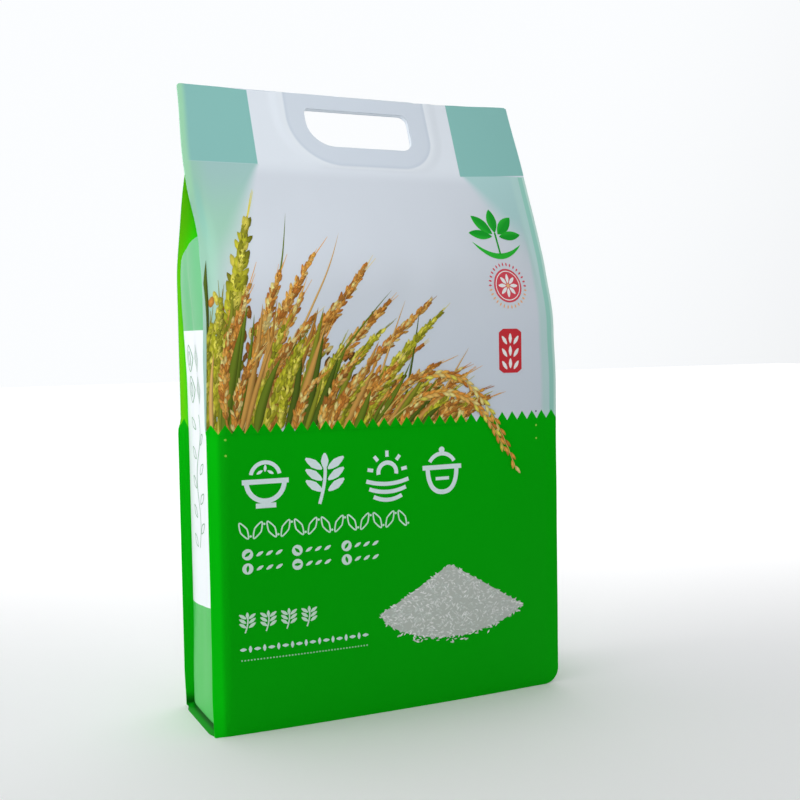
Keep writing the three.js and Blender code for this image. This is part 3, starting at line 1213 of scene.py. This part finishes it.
def drawHeap():
    chance = random.Random(heap["seed"])
    bm = newSheet()
    ink = bm.verts.layers.float_color["ink"]
    left, right = heap["left"][0], heap["right"][0]
    under = printed(*heap["under"], heap["light"])
    for vert in bmesh.ops.create_grid(bm, x_segments=36, y_segments=8, size=0.5)["verts"]:
        x = lerp(left, right, vert.co.x + 0.5)
        vert.co = (x, lerp(heapFoot(x) + 0.6, heapTop(x) - 0.6, vert.co.y + 0.5), 0)
        vert[ink] = under
    length, width = heap["grain"]
    for i in range(heap["grains"] + heap["loose"]):
        x = lerp(left, right, chance.random())
        low, high = heapFoot(x), heapTop(x)
        up = lerp(low, high, chance.random())
        if i >= heap["grains"]:
            up = low - chance.random() ** 2 * 4 + 0.5
        elif chance.random() > (high - low + 6) / 50:
            continue
        # painted light: the grains are lighter on the heap's left and darker on its right
        lit = lerp(1.06, 0.94, (x - left) / (right - left))
        shade = picked(chance, heap["shades"], 0.92, 1.08, heap["light"], lit)
        size = chance.uniform(0.8, 1.1)
        drawGrain(bm, x, up, chance.uniform(-1.2, 1.2), length * size, width * size, shade,
                  0.02 + 0.004 * (i % 9), 6, (1.06, 0.98, 0.84))
    return laySheet("riceHeap", bm, newMaterial("heap ink", paintInk))


def drawOval(bm, x, y, turn, length, width, stroke, shade, order=0, steps=20):
    def path(t):
        angle = 2 * math.pi * t
        along = length / 2 * math.cos(angle)
        across = width / 2 * math.sin(angle) * (1 - 0.45 * abs(math.cos(angle)))
        return Vector(turnedSpot(x, y, turn, along, across))
    drawStrip(bm, path, even(stroke), shade, steps, 1, order)


def drawBar(bm, x1, y1, x2, y2, width, shade, order=0):
    drawStrip(bm, straight(x1, y1, x2, y2), even(width), shade, 4, 1, order)


def flatGrain(bm, x, y, turn, length, width, shade, order=0):
    drawGrain(bm, x, y, turn, length, width, shade, order, 10, (1, 1, 1))


# Four plain pictures on the green, each about 30 mm high
pictures = {
    "up": 156.5,
    "middles": (-88.5, -49.5, -6.5, 33.5),
    "stroke": 3.1,
    "shade": (184, 199, 204),
}


def drawBowl(bm, x, y, stroke, shade):
    drawRing(bm, x, y + 1, 12.2, stroke, shade, 0.02, 180, 360, 24)
    drawBar(bm, x - 15, y + 1, x + 15, y + 1, stroke, shade)
    drawBar(bm, x - 6.5, y - 14, x + 6.5, y - 14, stroke, shade, 0.01)
    drawRing(bm, x, y + 3.5, 9.4, stroke * 0.8, shade, 0.01, 12, 168, 18)
    for turn, across, up in ((0.5, -3.6, 6.8), (-0.5, 3.4, 6.6), (1.5, 0, 9.2)):
        flatGrain(bm, x + across, y + up, turn, 4.6, 2, shade, 0.02)


def drawSprig(bm, x, y, stroke, shade, height=31):
    unit = height / 31
    stem = curved(x - 4 * unit, y - 15.5 * unit, x + 1, y, x, y + 9 * unit)
    drawStrip(bm, stem, even(stroke * 0.7), shade, 12, 1)
    for i in range(3):
        up = y - 7.5 * unit + i * 7 * unit
        for side in (-1, 1):
            flatGrain(bm, x + side * 7.4 * unit, y=up + 3.6 * unit, turn=math.radians(90 - side * 56),
                      length=13.5 * unit, width=5.4 * unit, shade=shade, order=0.01)
    flatGrain(bm, x, y + 11.5 * unit, math.pi / 2, 10.5 * unit, 5.2 * unit, shade, 0.02)


def drawSunrise(bm, x, y, stroke, shade):
    drawRing(bm, x, y + 1.5, 6.4, stroke * 0.9, shade, 0.01, -10, 190, 18)
    for turn in (10, 50, 90, 130, 170):
        one = arc(x, y + 1.5, 10.2, turn, turn)(0)
        two = arc(x, y + 1.5, 14.2, turn, turn)(0)
        drawBar(bm, one.x, one.y, two.x, two.y, stroke * 0.75, shade)
    for drop, reach in ((0, 15), (5.2, 13), (10.4, 10)):
        low = y - 3.4 - drop
        wave = curved(x - reach, low, x, low - 5, x + reach, low)
        drawStrip(bm, wave, even(stroke * 0.85), shade, 12, 1)


def drawPot(bm, x, y, stroke, shade):
    drawBar(bm, x - 14.5, y + 2.5, x + 14.5, y + 2.5, stroke, shade)
    for side, order in ((-1, 0.01), (1, 0.02)):
        half = curved(x + side * 10.8, y + 2, x + side * 10.5, y - 14, x, y - 14)
        drawStrip(bm, half, even(stroke), shade, 14, 1, order)
    drawRing(bm, x, y + 1, 10.5, stroke * 0.85, shade, 0.01, 30, 150, 16)
    drawDisc(bm, x, y + 14, 2.1, shade, 0.02, 14)
    drawBar(bm, x - 5, y - 5, x + 5, y - 5, stroke * 0.7, shade, 0.03)


# Lesser print on the green: a leaf border, six marks, rows of grains and dots
border = {
    "left": -103, "right": 3.5, "up": 127.5, "count": 13, "shade": (168, 206, 180), "stroke": 0.95,
}
marks = {
    "lefts": (-101, -69, -36),
    "ups": (112.7, 103.8),
    "radius": 3.5,
    "beads": 3,
    "beadPitch": 6.2,
    "shade": (178, 198, 190),
}
rows = {
    "sprigs": {"left": -102, "right": -62, "up": 70, "count": 4, "shade": (172, 198, 180)},
    "diamonds": {"left": -105, "right": -24, "up": 53.4, "count": 19, "shade": (176, 197, 193)},
    "dots": {"left": -106, "right": -23, "up": 46.6, "count": 42, "shade": (140, 184, 150)},
}
vents = {
    "onGreen": ((-113, 184.4), (-113, 174.6), (108.3, 183.2), (108.3, 174.2)),
    "onFrost": ((108.3, 192.9),),
    "greenShade": (122, 172, 60),
    "frostShade": (90, 96, 110),
    "radius": 0.75,
}
packGreen = (1, 137, 5)


def spread(row):
    return [lerp(row["left"], row["right"], i / (row["count"] - 1)) for i in range(row["count"])]


def drawPictures():
    bm = newSheet()
    shade = printed(*pictures["shade"])
    drawers = (drawBowl, drawSprig, drawSunrise, drawPot)
    for draw, middle in zip(drawers, pictures["middles"]):
        draw(bm, middle, pictures["up"], pictures["stroke"], shade)
    shade = printed(*border["shade"])
    for i, x in enumerate(spread(border)):
        lean = math.radians(62 if i % 2 else 118)
        drawOval(bm, x, border["up"], lean, 11.4, 4.6, border["stroke"], shade)
        drawDisc(bm, x + 4.2, border["up"] + (3.6 if i % 2 else -3.6), 0.75, shade, 0, 10)
    shade = printed(*marks["shade"])
    green = printed(*packGreen)
    for i, left in enumerate(marks["lefts"]):
        for j, up in enumerate(marks["ups"]):
            drawDisc(bm, left, up, marks["radius"], shade)
            turn = math.radians(35 + 50 * (2 * i + j))
            flatGrain(bm, left, up, turn, 4.4, 2, green, 0.02)
            for k in range(marks["beads"]):
                x = left + marks["radius"] + 4.2 + k * marks["beadPitch"]
                flatGrain(bm, x, up, math.radians(30), 5.2, 2.2, shade)
    shade = printed(*rows["sprigs"]["shade"])
    for x in spread(rows["sprigs"]):
        drawSprig(bm, x, rows["sprigs"]["up"], 1.3, shade, 12.5)
    shade = printed(*rows["diamonds"]["shade"])
    for i, x in enumerate(spread(rows["diamonds"])):
        flatGrain(bm, x, rows["diamonds"]["up"], math.radians(90 if i % 2 else 0), 4.4, 2.2, shade)
    shade = printed(*rows["dots"]["shade"])
    for x in spread(rows["dots"]):
        drawDisc(bm, x, rows["dots"]["up"], 0.55, shade, 0, 8)
    for places, shade in (("onGreen", "greenShade"), ("onFrost", "frostShade")):
        for x, up in vents[places]:
            drawDisc(bm, x, up, vents["radius"], printed(*vents[shade]), 0, 10)
    return laySheet("palePrint", bm, newMaterial("pale ink", paintInk))


# Three marks at the upper right: a sprout, a rosette and a tag of grains
badges = {
    "sprout": {"place": (87.5, 321.5), "shade": (34, 160, 44), "deep": (14, 138, 34), "light": 0.72},
    "rosette": {"place": (88.6, 279.4), "radius": 11.6, "red": (178, 62, 74), "gold": (196, 150, 110)},
    "tag": {"place": (87.8, 235), "size": (18, 30), "red": (168, 40, 48)},
    "paper": (205, 211, 219),
}


def drawSprout(bm):
    x, y = badges["sprout"]["place"]
    level = badges["sprout"]["light"]
    light, deep = printed(*badges["sprout"]["shade"], level), printed(*badges["sprout"]["deep"], level)
    for turn, length, width in ((90, 17, 8), (42, 19, 8), (138, 19, 8), (6, 19, 6.5), (174, 19, 6.5)):
        tip = arc(x, y - 8, length + 3, turn, turn)(0)
        start = arc(x, y - 8, 3, turn, turn)(0)
        drawStrip(bm, straight(start.x, start.y, tip.x, tip.y), leafWidth(width, 0.5),
                  lambda t, s: light if s > 0 else deep, 12, 2)
    ground = curved(x - 21, y - 12, x - 3, y - 31, x + 20, y - 13)
    drawStrip(bm, ground, leafWidth(4, 0.5), light, 24, 1)
    drawBar(bm, x, y - 20.5, x, y - 5, 1.5, deep, 0.01)


def drawRosette(bm):
    x, y = badges["rosette"]["place"]
    radius = badges["rosette"]["radius"]
    red, gold = printed(*badges["rosette"]["red"]), printed(*badges["rosette"]["gold"])
    paper = printed(*badges["paper"])
    drawDisc(bm, x, y, radius, red, 0, 40)
    drawRing(bm, x, y, radius - 1.7, 0.6, paper, 0.03, 0, 360, 40)
    for i in range(8):
        spot = arc(x, y, radius * 0.42, 45 * i, 45 * i)(0)
        flatGrain(bm, spot.x, spot.y, math.radians(45 * i), radius * 0.55, 2.7, paper, 0.03)
    drawDisc(bm, x, y, 1.5, gold, 0.05, 14)
    for i in range(30):
        spot = arc(x, y, radius + 3.1, 12 * i, 12 * i)(0)
        flatGrain(bm, spot.x, spot.y, math.radians(12 * i), 2.6, 1.3, red if i < 16 else gold)


def drawTag(bm):
    x, y = badges["tag"]["place"]
    wide, high = badges["tag"]["size"]
    red, paper = printed(*badges["tag"]["red"]), printed(*badges["paper"])
    drawStrip(bm, straight(x, y - high / 2, x, y + high / 2),
              lambda t: wide * min(1, 0.62 + 5 * min(t, 1 - t)), red, 24, 4)
    for up in (8.5, 0, -8.5):
        for side in (-1, 0, 1):
            turn = math.radians(90 - side * 34)
            flatGrain(bm, x + side * 4.6, y + up - abs(side) * 1.2, turn, 7, 2.7, paper, 0.03)


def drawBadges():
    bm = newSheet()
    drawSprout(bm)
    drawRosette(bm)
    drawTag(bm)
    return laySheet("badges", bm, newMaterial("badge ink", paintInk))


# The back carries a plain panel with ruled lines
backPanel = {
    "wide": 150,
    "bottom": 52,
    "top": 168,
    "paper": (214, 220, 226),
    "rules": 8,
}


def drawBackPanel():
    bm = newSheet()
    paper, green = printed(*backPanel["paper"]), printed(*packGreen)
    low, high, half = backPanel["bottom"], backPanel["top"], backPanel["wide"] / 2

    def width(t):            # with rounded corners
        return 2 * half - 8 * (1 - min(1, 14 * min(t, 1 - t))) ** 2

    drawStrip(bm, straight(0, low, 0, high), width, paper, 40, 4)
    for i in range(backPanel["rules"]):
        up = lerp(low + 12, high - 34, i / (backPanel["rules"] - 1))
        drawBar(bm, -half + 12, up, half - 12, up, 0.7, green, 0.03)
        drawDisc(bm, -half + 16, up + 4, 1.4, green, 0.03, 14)
    drawSprig(bm, -half + 24, high - 17, 2, green, 20)
    drawSprig(bm, half - 24, high - 17, 2, green, 20)
    for x in range(-36, 40, 9):
        drawOval(bm, x, high - 17, math.radians(60), 8, 3.4, 0.8, green, 0.03)
    return laySheet("backPrint", bm, newMaterial("back ink", paintInk), 1)


# A spot on a side (-1 left, 1 right): y across, up the side
def sideSpot(side, y, up):
    front, back = sideEdges(side, up)
    v = min(max(2 * (y - front) / (back - front) - 1, -1), 1)
    return Vector((side * sideReach(up, v, finTip(up, side > 0), finRoot(up, side > 0)), y, up))


def sidePlace(side, y, up, lift):
    step = 0.5
    across = sideSpot(side, y + step, up) - sideSpot(side, y - step, up)
    upward = sideSpot(side, y, up + step) - sideSpot(side, y, up - step)
    return (sideSpot(side, y, up) + side * lift * across.cross(upward).normalized()) * mm


# The pale label down each side: outlined grains and a leafy stem
sideLabel = {
    "line": (128, 178, 140),
    "light": 0.95,
    "tall": (214, 234),      # heights of the two rows of grains
    "stemTop": 198,
    "stemFoot": 112,
    "leaves": 9,
    "lift": 0.12,
    "longest": 4,
    "halvings": 2,
}


def drawSideLabel(side):
    bm = newSheet()
    shade = printed(*sideLabel["line"], sideLabel["light"])
    for up in sideLabel["tall"]:
        for y in (-11, 3):
            drawOval(bm, y, up, math.radians(90), 17, 11, 0.8, shade)
            drawOval(bm, y, up, math.radians(90), 9, 4.5, 0.7, shade)
    top, foot = sideLabel["stemTop"], sideLabel["stemFoot"]

    def stem(t):
        return Vector((-4 + 3 * math.sin(9 * t), lerp(foot, top, t)))

    drawStrip(bm, stem, even(0.8), shade, 40, 1)
    for i in range(sideLabel["leaves"]):
        up = lerp(foot + 4, top - 6, i / (sideLabel["leaves"] - 1))
        reach = 1 if i % 2 else -1
        drawOval(bm, -4 + reach * 8, up, math.radians(90 - reach * 50), 11, 5, 0.7, shade)
    halveEdges(bm, sideLabel["longest"], sideLabel["halvings"])
    for vert in bm.verts:
        vert.co = sidePlace(side, side * vert.co.x, vert.co.y, sideLabel["lift"] + vert.co.z)
    name = "sideLabelLeft" if side < 0 else "sideLabelRight"
    return finishSheet(name, bm, newMaterial("label ink", paintInk), (side, 0, 0))


def paintHandle(tree):
    fine = grain(tree, 0.5)
    bump = {"Strength": 0.08, "Distance": 0.1 * mm, "Height": fine}
    normal = addNode(tree, "ShaderNodeBump", {}, bump)
    return addNode(tree, "ShaderNodeBsdfPrincipled", {}, {
        "Base Color": grain(tree, 9).mix((0.66, 0.73, 0.80, 1), (0.72, 0.78, 0.84, 1)),
        "Roughness": 0.36 + 0.1 * fine,
        "Normal": normal,
    })


def finishHandle():
    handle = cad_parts["handle"]
    plastic = newMaterial("handle plastic", paintHandle)
    for holder in handle.material_slots:
        holder.material = plastic
    print("handle: finished")


# The photograph's viewpoint
shot = {
    "place": (-0.30623, -0.71007, 0.24535),
    "yaw": math.radians(24.795),
    "pitch": math.radians(3.154),
    "roll": math.radians(-0.935),
    "focal": 1137.16,        # in pixels of the 800 pixel frame
    "frameSize": 800,
}


def makeCamera():
    yaw, pitch, roll = shot["yaw"], shot["pitch"], shot["roll"]
    level = math.cos(pitch)
    forward = Vector((math.sin(yaw) * level, math.cos(yaw) * level, -math.sin(pitch)))
    right = Vector((math.cos(yaw), -math.sin(yaw), 0))
    above = right.cross(forward)
    turnedRight = right * math.cos(roll) + above * math.sin(roll)
    turnedUp = above * math.cos(roll) - right * math.sin(roll)
    turn = Matrix((turnedRight, turnedUp, -forward)).transposed().to_4x4()
    data = bpy.data.cameras.new("camera")
    data.sensor_width = 36
    data.lens = shot["focal"] * data.sensor_width / shot["frameSize"]
    camera = bpy.data.objects.new("camera", data)
    camera.matrix_world = Matrix.Translation(Vector(shot["place"])) @ turn
    bpy.context.scene.collection.objects.link(camera)
    bpy.context.scene.camera = camera


studio = {
    "key": {
        "place": (-0.40, -0.85, 0.60), "aim": (-0.03, 0, 0.42), "size": 0.4, "power": 0.65, "spread": 55,
    },
    "side": {
        "place": (-1.4, 0.15, 0.45), "aim": (-0.1, 0, 0.22), "size": 0.9, "power": 2.45, "spread": 120,
    },
    "skyDark": 0.10,
    "skyBright": 1.0,
    "skyShade": (0.97, 0.985, 1, 1),
    "brightSide": (-0.35, 0.85, 0.4),
    "view": (0.42, 0.908, 0),     # level, the way the camera looks
    "floorPale": (-0.34, -0.19),  # along that way the floor goes from light grey to white
    "floorShades": ((0.32, 0.32, 0.32, 1), (0.90, 0.90, 0.90, 1)),
    "floorGlow": (-0.06, 0.7),    # and behind the pack it brightens to meet the sky
    "glowShades": ((0.03, 0.03, 0.03, 1), (0.40, 0.39, 0.39, 1)),
}


def softLight(name, place, aim, size, power, spread):
    data = bpy.data.lights.new(name, "AREA")
    data.shape = "SQUARE"
    data.size = size
    data.energy = power
    data.spread = math.radians(spread)
    light = bpy.data.objects.new(name, data)
    light.location = place
    light.rotation_mode = "QUATERNION"
    light.rotation_quaternion = (Vector(aim) - Vector(place)).to_track_quat("-Z", "Y")
    bpy.context.scene.collection.objects.link(light)


# How far the texture coordinates of an output (0 generated, 3 object) lie along a direction
def alongWay(tree, output, way):
    place = addNode(tree, "ShaderNodeTexCoord", {}, {}, output)
    return addNode(tree, "ShaderNodeVectorMath", {"operation": "DOT_PRODUCT"}, {0: place, 1: way}, 1)


def paintFloor(tree):
    away = alongWay(tree, 3, studio["view"])
    return addNode(tree, "ShaderNodeBsdfPrincipled", {}, {
        "Base Color": away.ramp(*studio["floorPale"]).mix(*studio["floorShades"]),
        "Roughness": 0.8,
        "Emission Color": away.ramp(*studio["floorGlow"]).mix(*studio["glowShades"]),
        "Emission Strength": 1,
    })


def makeStudio():
    bm = bmesh.new()
    bmesh.ops.create_grid(bm, x_segments=1, y_segments=1, size=6)
    floor = linkNew("floor", bm, [newMaterial("floor paint", paintFloor)])
    for name in ("key", "side"):
        softLight(name, **studio[name])
    world = bpy.data.worlds.new("studio")
    world.use_nodes = True
    tree = world.node_tree
    tree.nodes.clear()
    facing = alongWay(tree, 0, Vector(studio["brightSide"]).normalized())
    level = studio["skyDark"] + (studio["skyBright"] - studio["skyDark"]) * facing.ramp(-0.7, 0.6)
    sky = addNode(tree, "ShaderNodeBackground", {}, {"Color": studio["skyShade"], "Strength": level})
    output = tree.nodes.new("ShaderNodeOutputWorld")
    tree.links.new(sky.socket, output.inputs["Surface"])
    bpy.context.scene.world = world
    bpy.context.scene.view_settings.view_transform = "Standard"
    print("studio: ready")


makeCamera()
makeStudio()
makeFilm()
finishHandle()
drawField()
drawDroop()
drawHeap()
drawPictures()
drawBadges()
drawBackPanel()
drawSideLabel(-1)
drawSideLabel(1)
